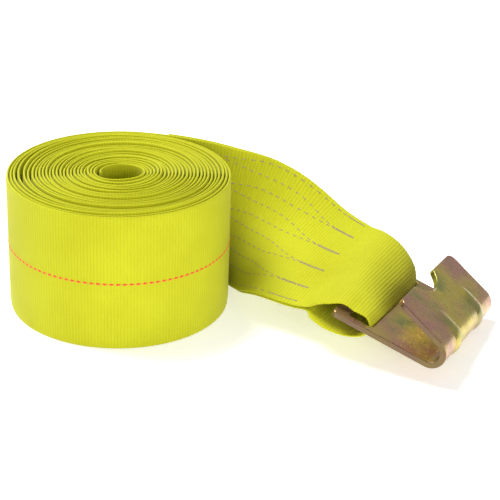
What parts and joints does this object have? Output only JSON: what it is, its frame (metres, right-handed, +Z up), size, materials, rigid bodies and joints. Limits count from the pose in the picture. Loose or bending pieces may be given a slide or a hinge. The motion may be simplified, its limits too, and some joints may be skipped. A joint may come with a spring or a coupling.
{
  "type": "winch strap with flat hook",
  "caption": "Rolled polyester winch strap standing on edge, its sewn loop holding a wide bent-plate flat hook.",
  "frame": {"origin": "centre of the roll's core at the level of the lower selvedge, on the surface it stands on", "axes": "+Z up along the roll's axis; +X towards the hook's side; +Y away from the side the hook lies on"},
  "size_m": [0.3567, 0.1998, 0.1024],
  "materials": {
    "webbing": "matt ribbed weave",
    "tracer": "matt yarn",
    "thread": "matt bonded thread",
    "hook_zinc": "yellow zinc plate, satin"
  },
  "bodies": {
    "roll": {"webbing_coil": "webbing", "tracer_yarn": "tracer"},
    "strap_end": {"webbing_lead": "webbing", "webbing_tail": "webbing", "webbing_eye": "webbing", "stitch_leg_01": "thread", "stitch_leg_02": "thread", "stitch_leg_03": "thread", "stitch_leg_04": "thread", "stitch_leg_05": "thread", "stitch_leg_06": "thread", "stitch_leg_07": "thread", "stitch_leg_08": "thread", "stitch_leg_09": "thread", "stitch_leg_10": "thread"},
    "hook": {"flat_hook": "hook_zinc"}
  },
  "joints": [
    {"name": "strap_peel", "type": "hinge", "parent": "roll", "child": "strap_end", "pos_m": [0.01696, 0.07977, 0.0508], "axis": [0, 0, 1], "range_deg": [0, 35]},
    {"name": "hook_swing", "type": "hinge", "parent": "strap_end", "child": "hook", "pos_m": [0.18114, -0.03366, 0.02872], "axis": [-0.3962, -0.9112, 0.1132], "range_deg": [-60, 65]}
  ]
}
